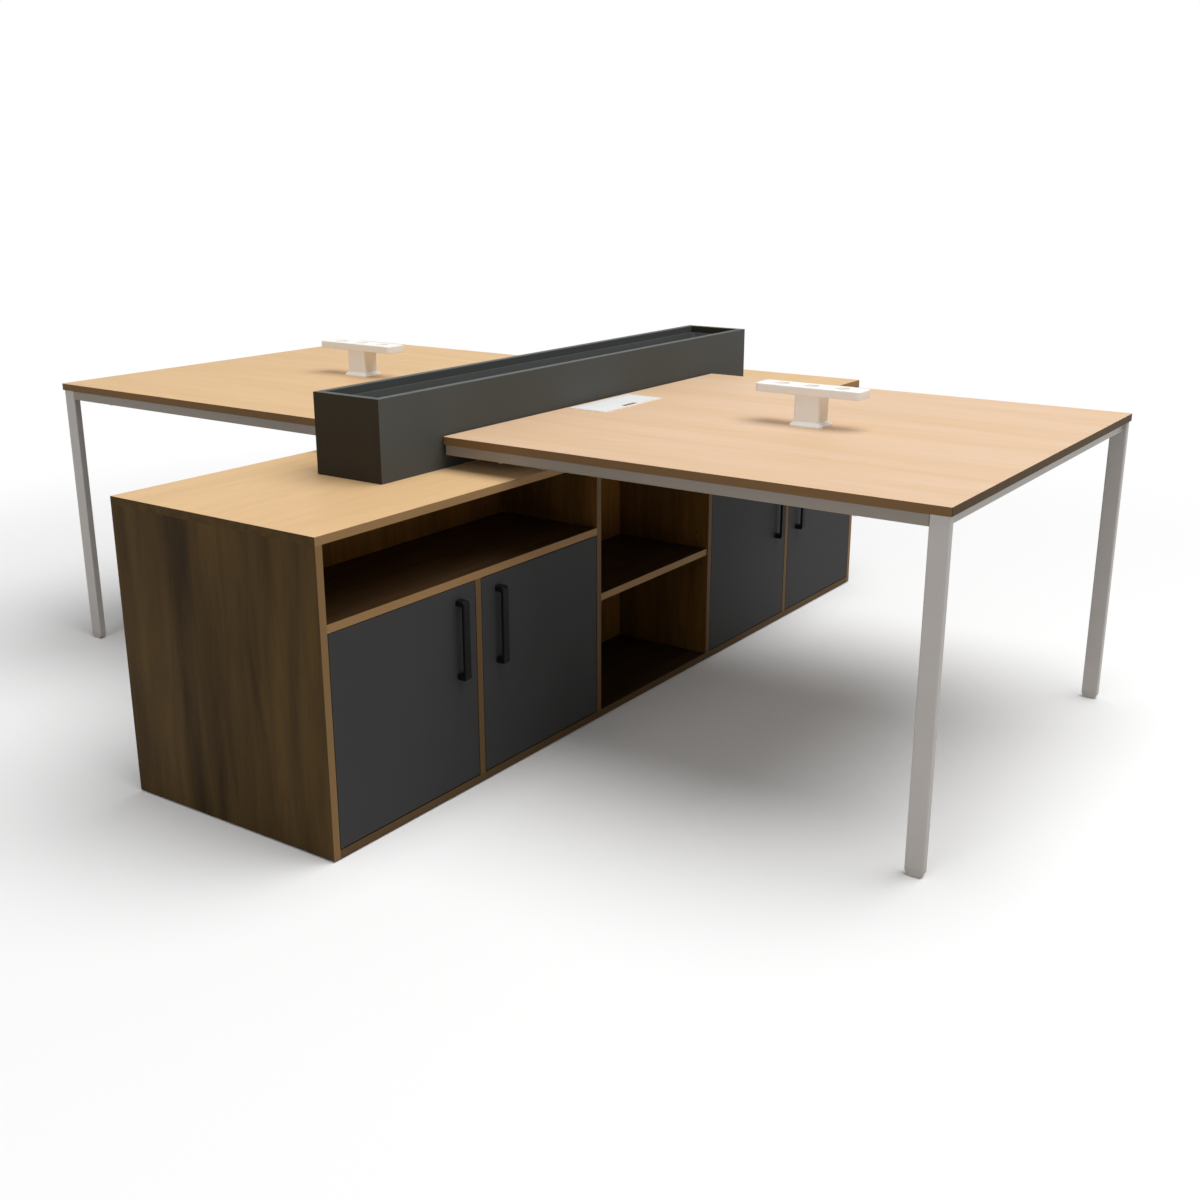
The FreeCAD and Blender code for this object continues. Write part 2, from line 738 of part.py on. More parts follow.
def turned_standoff():
    """Turned column with a broad foot, between the cabinet top and the cross rail."""
    body = new_body()
    pad(body, circle(body, "XY_Plane", "standoff_foot_radius"), "standoff_foot_height")
    pad(body, circle(body, "XY_Plane", "standoff_radius", ("0", "0", "standoff_foot_height")),
        "standoff_height - standoff_foot_height")
    neck = size("standoff_foot_height")
    column = size("standoff_radius")
    round_edges(body, "standoff_foot_height / 2", lambda edge: lies_at(edge, "Z", neck)
                and abs(edge.Curve.Radius - column) < 0.001)
    return body


def build_cable_ports():
    """Framed cable cut-out with a lid hinged on the planter's side."""
    for side in (1, -1):
        name = side_name(side)
        keep(f"cable_port_frame_{name}", place(port_frame(), "port_x", "0", "worktop", side))
        keep(f"cable_port_lid_{name}", place(port_lid(), "port_x", "0", "worktop", side))


def port_frame():
    """Flange on the worktop and a collar through the cut-out, with a ledge and two hinge bores."""
    body = new_body()
    pad(body, rectangle(body, "XY_Plane", "port_width", "port_length"), "port_flange")
    round_edges(body, "port_corner", lambda edge: runs_along(edge, "z"))
    collar = rectangle(body, "XY_Plane", "port_cut_width - 2 * port_play", "port_cut_length - 2 * port_play")
    pad(body, collar, "top_thickness", backward=True)
    mouth = rectangle(body, "XY_Plane", "port_clear_width", "port_clear_length", ("0", "0", "port_flange"))
    pocket(body, mouth, "port_flange + top_thickness")
    ledge = rectangle(body, "XY_Plane", "lid_ledge + port_wall", "port_clear_length",
                      ("(port_clear_width + port_wall - lid_ledge) / 2", "0",
                       "port_flange - lid_thickness - lid_ledge_play"))
    pad(body, ledge, "lid_ledge_depth", backward=True)
    bore = circle(body, "XZ_Plane", "lid_pin_radius + lid_pin_play",
                  ("lid_hinge_x", "port_flange - knuckle_drop", "0"))
    pocket(body, bore, "port_clear_length + 2 * port_wall", both_ways=True)
    return body


def port_lid():
    """Flat lid with a cable notch, and two knuckles whose pins turn in the frame."""
    body = new_body()
    middle = "(lid_hinge_gap - lid_play) / 2"
    plate = rectangle(body, "XY_Plane", "lid_width", "lid_length", (middle, "0", "port_flange"))
    pad(body, plate, "lid_thickness", backward=True)
    free_edge = "lid_width / 2 + (lid_hinge_gap - lid_play) / 2"
    notch = rectangle(body, "XY_Plane", "2 * lid_notch_width", "lid_notch_length",
                      (free_edge, "0", "port_flange"))
    pocket(body, notch, "lid_thickness")
    inner = size("lid_width") / 2 + (size("lid_hinge_gap") - size("lid_play")) / 2 - size("lid_notch_width")
    round_edges(body, "lid_notch_corner", lambda edge: runs_along(edge, "z") and lies_at(edge, "X", inner))
    axis = ("lid_hinge_x", "port_flange - knuckle_drop")
    for way in (1, -1):
        start = f"{-way} * (lid_length / 2 - knuckle_length)"
        knuckle = circle(body, "XZ_Plane", "knuckle_radius", (*axis, start))
        pad(body, knuckle, "knuckle_length", backward=way > 0)
        pin = circle(body, "XZ_Plane", "lid_pin_radius", (*axis, f"{-way} * lid_length / 2"))
        pad(body, pin, "lid_play + lid_pin_reach", backward=way > 0)
    return body


def build_power_units():
    """A T-shaped power unit on each worktop: post, bar with sockets, and a nut below the top."""
    insert = socket_insert()
    nut = clamp_nut()
    inserts = []
    nuts = []
    socket_z = "worktop + post_height + bar_height - socket_depth"
    for side in (1, -1):
        name = side_name(side)
        keep(f"power_post_{name}", place(power_post(), "post_x", "0", "worktop", side))
        keep(f"power_bar_{name}", place(power_bar(), "post_x", "0", "worktop + post_height", side))
        for x in ("post_x - socket_pitch", "post_x", "post_x + socket_pitch"):
            inserts.append(copy_of(insert, x, "0", socket_z, side))
        nuts.append(copy_of(nut, "post_x", "0", "worktop_under - nut_height", side))
    keep("power_sockets", group(inserts))
    keep("post_clamp_nuts", group(nuts))


def power_post():
    """Post that flares into its foot, with a round stem through the worktop."""
    body = new_body()
    pad(body, rectangle(body, "XY_Plane", "post_foot_width", "post_foot_depth"), "post_foot_edge")
    wide = rectangle(body, "XY_Plane", "post_foot_width", "post_foot_depth", ("0", "0", "post_foot_edge"))
    slim = rectangle(body, "XY_Plane", "post_width", "post_depth", ("0", "0", "post_foot_height"))
    flare = body.newObject("PartDesign::AdditiveLoft", "flare")
    flare.Profile = wide
    flare.Sections = [slim]
    flare.Ruled = True
    shaft = rectangle(body, "XY_Plane", "post_width", "post_depth", ("0", "0", "post_foot_height"))
    pad(body, shaft, "post_height - post_foot_height")
    stem = circle(body, "XY_Plane", "stem_radius")
    pad(body, stem, "top_thickness + nut_height + stem_overrun", backward=True)
    round_edges(body, "post_corner", lambda edge: slopes(edge) and edge.CenterOfMass.z > 0)
    return body


def power_bar():
    """Bar across the post, with round wells for the sockets in its top."""
    body = new_body()
    pad(body, rectangle(body, "XY_Plane", "bar_length", "bar_depth"), "bar_height")
    round_edges(body, "bar_corner", lambda edge: runs_along(edge, "z"))
    upper = size("bar_height")
    round_edges(body, "bar_ease", lambda edge: lies_at(edge, "Z", upper) or lies_at(edge, "Z", 0.0))
    well = circle(body, "XY_Plane", "socket_radius", ("-socket_pitch", "0", "bar_height"))
    first = pocket(body, well, "socket_depth")
    repeat_in_line(body, [first], "X_Axis", "socket_pitch * (socket_count - 1)", "socket_count")
    return body


def socket_insert():
    """Round socket insert: a rim, a sunk face and two contact holes."""
    body = new_body()
    pad(body, circle(body, "XY_Plane", "socket_radius - socket_play"), "socket_depth")
    face = circle(body, "XY_Plane", "socket_radius - socket_play - socket_rim", ("0", "0", "socket_depth"))
    pocket(body, face, "socket_recess")
    for way in ("-1", "1"):
        hole = circle(body, "XY_Plane", "contact_radius",
                      (f"{way} * contact_offset", "0", "socket_depth - socket_recess"))
        pocket(body, hole, "contact_depth")
    return body


def clamp_nut():
    """Round nut with finger grips, on the stem below the worktop."""
    body = new_body()
    pad(body, circle(body, "XY_Plane", "nut_radius"), "nut_height")
    pocket(body, circle(body, "XY_Plane", "stem_radius + nut_play", ("0", "0", "nut_height")), "nut_height")
    grip = circle(body, "XY_Plane", "nut_grip_radius", ("nut_radius", "0", "nut_height"))
    repeat_around(body, [pocket(body, grip, "nut_height")], "nut_grip_count")
    return body


sizes = fill_sheet("Sizes", {alias: str(number) for alias, number in SIZES.items()})
levels = fill_sheet("Levels", {alias: "=" + named(formula) for alias, formula in LEVELS.items()})
build_carcass()
build_bay_shelves()
build_glides()
build_doors()
build_planter()
build_tables()
build_cable_ports()
build_power_units()
doc.recompute()

for item in doc.Objects:
    if "Invalid" in item.State or "Error" in item.State:
        raise RuntimeError(f"{item.Label} did not build: {item.State}")
for label, piece in pieces.items():
    if piece.Shape.isNull() or not piece.Shape.isValid():
        raise RuntimeError(f"{label} has no valid shape")

os.makedirs("parts", exist_ok=True)
for label, piece in pieces.items():
    piece.Shape.exportStep(f"parts/{label}.step")
print(f"{len(pieces)} pieces, {sum(len(piece.Shape.Solids) for piece in pieces.values())} solids")
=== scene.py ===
import math

import bmesh
import bpy
from bpy.props import FloatProperty, FloatVectorProperty, PointerProperty
from mathutils import Matrix, Vector


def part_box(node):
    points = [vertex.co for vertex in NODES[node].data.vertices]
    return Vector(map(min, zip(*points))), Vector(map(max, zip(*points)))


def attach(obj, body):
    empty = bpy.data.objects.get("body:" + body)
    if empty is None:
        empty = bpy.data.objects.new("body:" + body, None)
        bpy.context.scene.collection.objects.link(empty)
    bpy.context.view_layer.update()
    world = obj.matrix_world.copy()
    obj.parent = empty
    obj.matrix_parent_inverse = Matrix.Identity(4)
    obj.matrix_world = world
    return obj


bl_info = {
    "name": "Back-to-back Workstation",
    "version": (1, 0, 0),
    "blender": (4, 5, 0),
    "location": "View3D > Sidebar > Workstation",
    "description": "Finishes a two-sided storage workstation and sets it on a pale studio floor",
    "category": "Object",
}

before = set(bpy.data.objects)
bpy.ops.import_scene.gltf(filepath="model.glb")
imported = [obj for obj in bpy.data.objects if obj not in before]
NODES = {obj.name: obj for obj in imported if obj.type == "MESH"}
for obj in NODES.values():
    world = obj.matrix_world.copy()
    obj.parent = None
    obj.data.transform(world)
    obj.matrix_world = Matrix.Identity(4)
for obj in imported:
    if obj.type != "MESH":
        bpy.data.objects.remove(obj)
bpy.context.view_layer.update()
SIDES = ("right", "left")
ENDS = ("near", "far")
DOORS = [f"door_{side}_{number}" for side in SIDES for number in range(1, 5)]

# A face counts as facing an axis when its normal has more than this share along it
FACING_SHARE = 0.75
# Shade of the blackened pivot pins, as a share of bare steel
PIVOT_SHADE = 0.08
# Softened board edges
BEVEL_SEGMENTS = 2
BEVEL_ANGLE = math.radians(50)
# Handle screws: points round the head, and its distance from the handle's end in head radii
SCREW_POINTS = 24
SCREW_END_INSET = 1.4
# Lamps and camera, in metres and degrees
LAMP_TARGET = (0.0, 0.0, 0.4)
OVERHEAD_PLACE = (2.3, 0.8, 7.8)
OVERHEAD_WIDTH = 8.0
FRONT_PLACE = (0.6, -7.0, 3.0)
FRONT_WIDTH = 3.5
CAMERA_PLACE = (2.1694, -2.9723, 1.3414)
CAMERA_DIP = 17.368
CAMERA_TURN = 34.617
SENSOR_WIDTH = 36.0


def linear(red, green, blue):
    """A colour given in 8-bit display values, as scene-linear numbers."""
    def channel(value):
        value /= 255.0
        return value / 12.92 if value <= 0.04045 else ((value + 0.055) / 1.055) ** 2.4
    return tuple(channel(value) for value in (red, green, blue))


def colour_property(name, description, display):
    return FloatVectorProperty(name=name, description=description, subtype="COLOR", size=3,
                               min=0.0, max=1.0, default=linear(*display))


def length_property(name, description, metres):
    return FloatProperty(name=name, description=description, default=metres, min=0.0,
                         subtype="DISTANCE", unit="LENGTH")


class WorkstationFinish(bpy.types.PropertyGroup):
    """Colours of the boards, metal and plastic."""
    oak: colour_property("Oak", "Pale ground of the right worktop", (219, 190, 162))
    oak_warm: colour_property("Warm oak", "Ground of the left worktop and cabinet top", (223, 187, 139))
    oak_grain: colour_property("Oak grain", "Darker streaks in the pale oak", (208, 172, 130))
    oak_edge: colour_property("Oak edge", "Banding on the worktops' near and far edges", (119, 91, 60))
    # Painted shade: the next two colours darken the worktops' outer and inner edges, with streaks, standing
    # in for the shade that falls on those faces
    oak_end: colour_property("Oak end", "End grain on the worktops' outer and inner edges", (82, 61, 33))
    painted_shade_end_streaks: colour_property("Oak end grain", "Dark streaks in the end grain", (66, 49, 26))
    oak_back: colour_property("Oak backing", "Plain backing under the worktops", (150, 143, 134))
    walnut: colour_property("Walnut", "Ground of the cabinet's end panels", (90, 69, 36))
    walnut_grain: colour_property("Walnut grain", "Dark streaks in the end panels", (37, 25, 11))
    carcass: colour_property("Carcass", "Upright boards inside the cabinet", (106, 74, 32))
    carcass_grain: colour_property("Carcass grain", "Dark streaks in the upright boards", (60, 40, 15))
    # Painted shade in part: the flat boards inside the cabinet are a darker brown than the uprights,
    # standing in for the shade inside the bays
    shelf: colour_property("Shelf", "Flat boards inside the cabinet", (64, 46, 28))
    shelf_grain: colour_property("Shelf grain", "Dark streaks in the flat boards", (36, 25, 15))
    # Painted light in part: the spine is a lighter brown than the uprights, standing in for the light that
    # reaches the back of the bays
    spine: colour_property("Spine", "Upright board between the two sides", (136, 95, 42))
    spine_grain: colour_property("Spine grain", "Dark streaks in the spine", (80, 54, 22))
    shelf_edge: colour_property("Shelf edge", "Banding on the cabinet's top and shelves", (150, 117, 78))
    panel_edge: colour_property("Panel edge", "Banding on the end panels' front edges", (132, 103, 68))
    # Painted shade in part: this banding is darker than the shelf banding, standing in for the shade on the
    # dividers and partitions under the worktops
    upright_edge: colour_property("Upright edge", "Banding on the dividers and partitions", (104, 81, 54))
    bottom_edge: colour_property("Bottom edge", "Darker banding on the bottom board", (93, 72, 46))
    door: colour_property("Door", "Charcoal laminate of the doors", (58, 57, 57))
    planter: colour_property("Planter", "Charcoal laminate of the planter's long walls", (79, 81, 79))
    # Painted shade: a darker, browner copy of the planter's charcoal laminate for its end walls, standing
    # in for the shade on the ends
    planter_end: colour_property("Planter end", "Darker laminate of the planter's end walls", (52, 46, 36))
    liner: colour_property("Liner", "Moulded liner in the planter", (86, 88, 88))
    steel: colour_property("Steel", "Powder coat on the legs and outer rails", (180, 174, 168))
    # Painted shade: the rails are a darker copy of the legs' powder coat, standing in for the shade under
    # the worktops' overhang
    rail: colour_property("Rail", "Darker powder coat on the rails under the worktops", (135, 125, 113))
    handle: colour_property("Handle", "Black coat on the handles", (13, 13, 14))
    white: colour_property("White", "White plastic of the power units and cable ports", (250, 247, 242))
    black: colour_property("Black", "Black plastic and coated steel out of sight", (26, 26, 28))


class WorkstationSizes(bpy.types.PropertyGroup):
    """Sizes of the details that dress the boards."""
    edge_bevel: length_property("Edge bevel", "Rounding of the boards' plain edges", 0.0008)
    screw_radius: length_property("Screw radius", "Head of a handle's fixing screw", 0.0042)
    screw_height: length_property("Screw height", "Height of the screw head", 0.0022)
    screw_slot: length_property("Screw recess", "Width across the screw's recess", 0.0034)


class WorkstationStage(bpy.types.PropertyGroup):
    """Floor, light and camera."""
    floor_half: length_property("Floor half size", "Half the width of the floor", 30.0)
    clear_from: length_property("Clear from", "Distance at which the floor starts to clear to white", 1.5)
    clear_to: length_property("Clear to", "Distance at which the floor is white", 3.6)
    floor_colour: colour_property("Floor", "Pale floor", (250, 250, 250))
    sky: FloatProperty(name="Sky", description="Strength of the even light all round",
                       default=0.24, min=0.0)
    overhead: FloatProperty(name="Overhead", description="Power of the lamp above",
                            default=640.0, min=0.0, unit="POWER")
    front_lamp: FloatProperty(name="Front lamp", description="Power of the lamp in front",
                              default=80.0, min=0.0, unit="POWER")
    lens: FloatProperty(name="Lens", description="Focal length of the camera", default=42.01, min=1.0,
                        subtype="DISTANCE_CAMERA")


class Wire:
    """An output of a material's nodes; arithmetic between wires and numbers adds Math nodes."""

    def __init__(self, tree, socket=None):
        self.tree = tree
        self.socket = socket

    def node(self, kind, settings=None, sockets=None, output=0):
        """Add any node: its settings first, then the values or links of its sockets."""
        made = self.tree.nodes.new(kind)
        for name, value in (settings or {}).items():
            if name == "stops":
                set_stops(made.color_ramp, value)
            else:
                setattr(made, name, value)
        for key, value in (sockets or {}).items():
            if isinstance(value, Wire):
                self.tree.links.new(value.socket, made.inputs[key])
            else:
                made.inputs[key].default_value = value
        return Wire(self.tree, made.outputs[output])

    def math(self, operation, first, second=0.0):
        return self.node("ShaderNodeMath", {"operation": operation}, {0: first, 1: second})

    def __add__(self, other):
        return self.math("ADD", self, other)

    def __radd__(self, other):
        return self.math("ADD", other, self)

    def __sub__(self, other):
        return self.math("SUBTRACT", self, other)

    def __rsub__(self, other):
        return self.math("SUBTRACT", other, self)

    def __mul__(self, other):
        return self.math("MULTIPLY", self, other)

    def __rmul__(self, other):
        return self.math("MULTIPLY", other, self)

    def __gt__(self, other):
        return self.math("GREATER_THAN", self, other)

    def __abs__(self):
        return self.math("ABSOLUTE", self)


def set_stops(ramp, stops):
    """Give a colour ramp its stops, as (place, grey level)."""
    while len(ramp.elements) < len(stops):
        ramp.elements.new(1.0)
    for element, (place, level) in zip(ramp.elements, stops):
        element.position = place
        element.color = (level, level, level, 1.0)


def blend(wire, factor, first, second):
    """Mix two colours."""
    def paint(colour):
        return colour if isinstance(colour, Wire) else (*colour, 1.0)
    sockets = {0: factor, 6: paint(first), 7: paint(second)}
    return wire.node("ShaderNodeMix", {"data_type": "RGBA"}, sockets, 2)


def noise(wire, place, scale, detail, roughness=0.55, distortion=0.0):
    sockets = {"Vector": place, "Scale": scale, "Detail": detail, "Roughness": roughness,
               "Distortion": distortion}
    return wire.node("ShaderNodeTexNoise", None, sockets)


def levels(wire, value, stops):
    return wire.node("ShaderNodeValToRGB", {"stops": stops}, {"Fac": value})


def bump(wire, height, strength, distance):
    return wire.node("ShaderNodeBump", None, {"Height": height, "Strength": strength, "Distance": distance})


def new_material(name, gloss=0.5):
    """A material with an empty Principled surface, and a wire to start from."""
    material = bpy.data.materials.new(name)
    material.use_nodes = True
    tree = material.node_tree
    shader = next(item for item in tree.nodes if item.type == "BSDF_PRINCIPLED")
    shader.inputs["Specular IOR Level"].default_value = gloss
    return material, shader, Wire(tree)


def link(wire, shader, socket):
    wire.tree.links.new(wire.socket, shader.inputs[socket])


def object_place(wire):
    return wire.node("ShaderNodeTexCoord", None, None, 3)


def facing(wire, axis):
    """How squarely a surface faces along one of the object's axes, from -1 to 1."""
    normal = wire.node("ShaderNodeTexCoord", None, None, 1)
    return wire.node("ShaderNodeSeparateXYZ", None, {0: normal}, "xyz".index(axis))


def seen_plainly(wire):
    """1 for a ray from the camera, off a gloss or through glass, and 0 for the rest of the light."""
    kinds = ("Is Camera Ray", "Is Glossy Ray", "Is Transmission Ray")
    camera, glossy, through = (wire.node("ShaderNodeLightPath", None, None, kind) for kind in kinds)
    return wire.math("MAXIMUM", camera, wire.math("MAXIMUM", glossy, through))


GRAIN_STRETCH = {"x": (0.09, 1.0, 1.0), "y": (1.0, 0.09, 1.0), "z": (1.0, 1.0, 0.09)}


def wood(name, ground, grain, along, edge=None, edge_axis="x", shift=0.0, contrast=1.0, back=None,
         ends=None, end_axis="y", spread=1.0):
    """Wood-grain laminate: broad figure, fine streaks and pores along one axis, with banded edges."""
    material, shader, start = new_material(name, 0.05)
    place = object_place(start)
    offset = (shift, shift * 0.7, shift * 1.3)
    moved = start.node("ShaderNodeMapping", None,
                       {"Vector": place, "Location": offset, "Scale": GRAIN_STRETCH[along]})
    figure = noise(start, moved, scale=5.5 / spread, detail=4.0, roughness=0.5, distortion=1.4)
    streaks = noise(start, moved, scale=46.0 / spread, detail=5.0, roughness=0.62, distortion=0.35)
    pores = noise(start, moved, scale=240.0, detail=3.0, roughness=0.7)
    rings = start.node("ShaderNodeTexWave", {"wave_type": "BANDS", "bands_direction": "DIAGONAL"},
                       {"Vector": moved, "Scale": 3.2 / spread, "Distortion": 9.0, "Detail": 3.0,
                        "Detail Scale": 1.4}, 1)
    broad = levels(start, figure, [(0.32, 0.0), (0.72, 1.0)])
    fine = levels(start, streaks, [(0.36, 0.0), (0.7, 1.0)])
    dots = levels(start, pores, [(0.56, 0.0), (0.7, 1.0)])
    figure_share = (0.42 * broad + 0.34 * fine + 0.24 * rings) * contrast
    colour = blend(start, figure_share, ground, grain)
    colour = blend(start, dots * (0.22 * contrast), colour, tuple(0.6 * part for part in grain))
    roughness = 0.42 + 0.1 * streaks
    height = 0.5 * fine + 0.5 * (1.0 - dots)
    if edge is not None:
        band = abs(facing(start, edge_axis)) > FACING_SHARE
        if edge_axis == "z":
            band = 1.0 - band
        banding = blend(start, 0.35 * streaks, edge, tuple(0.55 * part for part in edge))
        colour = blend(start, band, colour, banding)
    # Faces across the end axis take the ends colours: real walnut banding on the cabinet top's ends, and
    # painted shade on the worktops' outer and inner edges
    if ends is not None:
        end_face_mask = abs(facing(start, end_axis)) > FACING_SHARE
        colour = blend(start, end_face_mask, colour, blend(start, streaks, *ends))
    if back is not None:
        colour = blend(start, (0.0 - facing(start, "z")) > FACING_SHARE, colour, back)
    link(colour, shader, "Base Color")
    link(roughness, shader, "Roughness")
    link(bump(start, height, strength=0.08, distance=0.0006), shader, "Normal")
    return material


def laminate(name, colour, painted_rim_highlight=None, end=None):
    """Plain matt laminate with a faint cloud, a fine pebble and slight scuffs."""
    material, shader, start = new_material(name, 0.06)
    place = object_place(start)
    cloud = noise(start, place, scale=2.2, detail=3.0, roughness=0.5, distortion=0.3)
    pebble = noise(start, place, scale=900.0, detail=2.0)
    marks = noise(start, place, scale=34.0, detail=6.0, roughness=0.7, distortion=0.8)
    scuffs = levels(start, marks, [(0.56, 0.0), (0.8, 1.0)])
    lighter = tuple(min(1.0, 1.28 * part) for part in colour)
    tone = blend(start, 0.65 * cloud, tuple(0.86 * part for part in colour), lighter)
    tone = blend(start, 0.12 * pebble, tone, lighter)
    # Faces across y take the end colour, which on the planter is painted shade
    if end is not None:
        tone = blend(start, abs(facing(start, "y")) > FACING_SHARE, tone, end)
    # Up-facing faces lean towards the rim colour: a painted highlight on the top edges
    if painted_rim_highlight is not None:
        tone = blend(start, (facing(start, "z") > FACING_SHARE) * 0.8, tone, painted_rim_highlight)
    link(tone, shader, "Base Color")
    link(0.5 + 0.12 * cloud - 0.08 * scuffs, shader, "Roughness")
    link(bump(start, pebble, strength=0.06, distance=0.0003), shader, "Normal")
    return material


def coated_steel(name, colour, roughness=0.42, gloss=0.5):
    """Powder coat: an even colour with an orange-peel skin."""
    material, shader, start = new_material(name, gloss)
    place = object_place(start)
    peel = noise(start, place, scale=520.0, detail=2.0, roughness=0.5)
    wear = noise(start, place, scale=7.0, detail=5.0, roughness=0.6, distortion=0.4)
    lighter = tuple(min(1.0, 1.1 * part) for part in colour)
    tone = blend(start, 0.5 * wear, tuple(0.88 * part for part in colour), lighter)
    link(tone, shader, "Base Color")
    link(roughness - 0.06 + 0.12 * wear, shader, "Roughness")
    link(bump(start, peel, strength=0.1, distance=0.0004), shader, "Normal")
    return material


def plastic(name, colour, roughness=0.36):
    """Moulded plastic with a faint spark-eroded grain."""
    material, shader, start = new_material(name)
    place = object_place(start)
    skin = noise(start, place, scale=1400.0, detail=2.0, roughness=0.5)
    drift = noise(start, place, scale=9.0, detail=3.0, roughness=0.5)
    tone = blend(start, 0.5 * drift, tuple(0.93 * part for part in colour), colour)
    link(tone, shader, "Base Color")
    link(roughness - 0.04 + 0.1 * drift, shader, "Roughness")
    link(bump(start, skin, strength=0.05, distance=0.0002), shader, "Normal")
    return material


def brushed_steel(name, along="z", shade=1.0):
    """Steel with fine lines along one axis, bare at full shade and blackened at a low one."""
    material, shader, start = new_material(name)
    place = object_place(start)
    drawn = start.node("ShaderNodeMapping", None, {"Vector": place, "Scale": GRAIN_STRETCH[along]})
    lines = noise(start, drawn, scale=900.0, detail=3.0, roughness=0.6)
    shader.inputs["Metallic"].default_value = 1.0
    dull = tuple(shade * part for part in (0.42, 0.42, 0.43))
    bright = tuple(shade * part for part in (0.68, 0.68, 0.69))
    link(blend(start, lines, dull, bright), shader, "Base Color")
    link(0.22 + 0.2 * lines, shader, "Roughness")
    return material


def finish_nodes(names, material, bevel=0.0):
    """Give CAD pieces a material and, where they are plain boards, softened edges."""
    for name in names:
        piece = NODES[name]
        piece.data.materials.clear()
        piece.data.materials.append(material)
        if bevel:
            soften = piece.modifiers.new("soft edges", "BEVEL")
            soften.width = bevel
            soften.segments = BEVEL_SEGMENTS
            soften.limit_method = "ANGLE"
            soften.angle_limit = BEVEL_ANGLE


def add_mesh(name, shape, material, body):
    """Turn a bmesh into a piece that rides on a body."""
    mesh = bpy.data.meshes.new(name)
    shape.to_mesh(mesh)
    shape.free()
    mesh.materials.append(material)
    piece = bpy.data.objects.new(name, mesh)
    bpy.context.scene.collection.objects.link(piece)
    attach(piece, body)


class WORKSTATION_OT_worktops(bpy.types.Operator):
    """Finish the worktops and the cabinet's top board in pale oak"""
    bl_idname = "workstation.worktops"
    bl_label = "Worktops"

    def execute(self, context):
        finish = context.scene.workstation_finish
        for side, ground, shift in zip(SIDES, (finish.oak, finish.oak_warm), (0.0, 3.7)):
            # Painted shade: the worktops' ends across x take the darker end colours
            oak = wood(f"pale oak {side}", ground, finish.oak_grain, "x", finish.oak_edge, "z", shift,
                       contrast=0.8, back=finish.oak_back, end_axis="x",
                       ends=(finish.oak_end, finish.painted_shade_end_streaks))
            finish_nodes([f"worktop_{side}"], oak)
        oak = wood("pale oak cabinet", finish.oak_warm, finish.oak_grain, "y", finish.shelf_edge, "z",
                   shift=8.1, contrast=0.8, ends=(finish.walnut, finish.walnut_grain))
        finish_nodes(["cabinet_top"], oak)
        return {"FINISHED"}


class WORKSTATION_OT_carcass(bpy.types.Operator):
    """Finish the cabinet's end panels, shelves, dividers, partitions and spine"""
    bl_idname = "workstation.carcass"
    bl_label = "Cabinet carcass"

    def execute(self, context):
        finish = context.scene.workstation_finish
        bevel = context.scene.workstation_sizes.edge_bevel
        for end, shift in zip(ENDS, (1.9, 6.3)):
            panel = wood(f"walnut panel {end}", finish.walnut, finish.walnut_grain, "z",
                         finish.panel_edge, "x", shift, contrast=1.25, spread=2.2)
            finish_nodes([f"end_panel_{end}"], panel, bevel)
        # The uprights' banding is partly painted shade
        upright = wood("carcass upright", finish.carcass, finish.carcass_grain, "z", finish.upright_edge)
        # The shelves and the bottom board take the darker shelf brown, partly painted shade
        flat = wood("carcass shelf", finish.shelf, finish.shelf_grain, "y", finish.shelf_edge, shift=4.4)
        base = wood("carcass base", finish.shelf, finish.shelf_grain, "y", finish.bottom_edge, shift=5.2)
        # The spine's lighter brown is partly painted light
        spine = wood("carcass spine", finish.spine, finish.spine_grain, "z", shift=2.6)
        dividers = [f"bay_divider_{side}_{end}" for side in SIDES for end in ENDS]
        finish_nodes([*dividers, "door_partitions"], upright)
        finish_nodes(["slot_shelves", "bay_shelves"], flat)
        finish_nodes(["cabinet_bottom"], base)
        finish_nodes(["spine_panel"], spine)
        return {"FINISHED"}


class WORKSTATION_OT_doors(bpy.types.Operator):
    """Finish the doors and their handles, and fit each handle's two screws on the door's inner face"""
    bl_idname = "workstation.doors"
    bl_label = "Doors and handles"

    def execute(self, context):
        finish = context.scene.workstation_finish
        sizes = context.scene.workstation_sizes
        finish_nodes(DOORS, laminate("charcoal door", finish.door))
        handle = coated_steel("black handle", finish.handle, 0.5, 0.12)
        finish_nodes([f"{door}_handle" for door in DOORS], handle)
        steel = brushed_steel("screw steel")
        for door in DOORS:
            self.fit_screws(door, sizes, steel)
        return {"FINISHED"}

    def fit_screws(self, door, sizes, steel):
        low, high = (Vector(corner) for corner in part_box(f"{door}_handle"))
        panel_low, panel_high = (Vector(corner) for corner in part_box(door))
        inner = panel_low.x if panel_low.x > 0 else panel_high.x
        inward = -1.0 if inner > 0 else 1.0
        shape = bmesh.new()
        inset = sizes.screw_radius * SCREW_END_INSET
        for level in (low.z + inset, high.z - inset):
            centre = Vector((inner, (low.y + high.y) / 2, level))
            turn = Matrix.Translation(centre) @ Matrix.Rotation(inward * math.pi / 2, 4, "Y")
            screw_head(shape, turn, sizes)
        add_mesh(f"{door}_handle_screws", shape, steel, door)


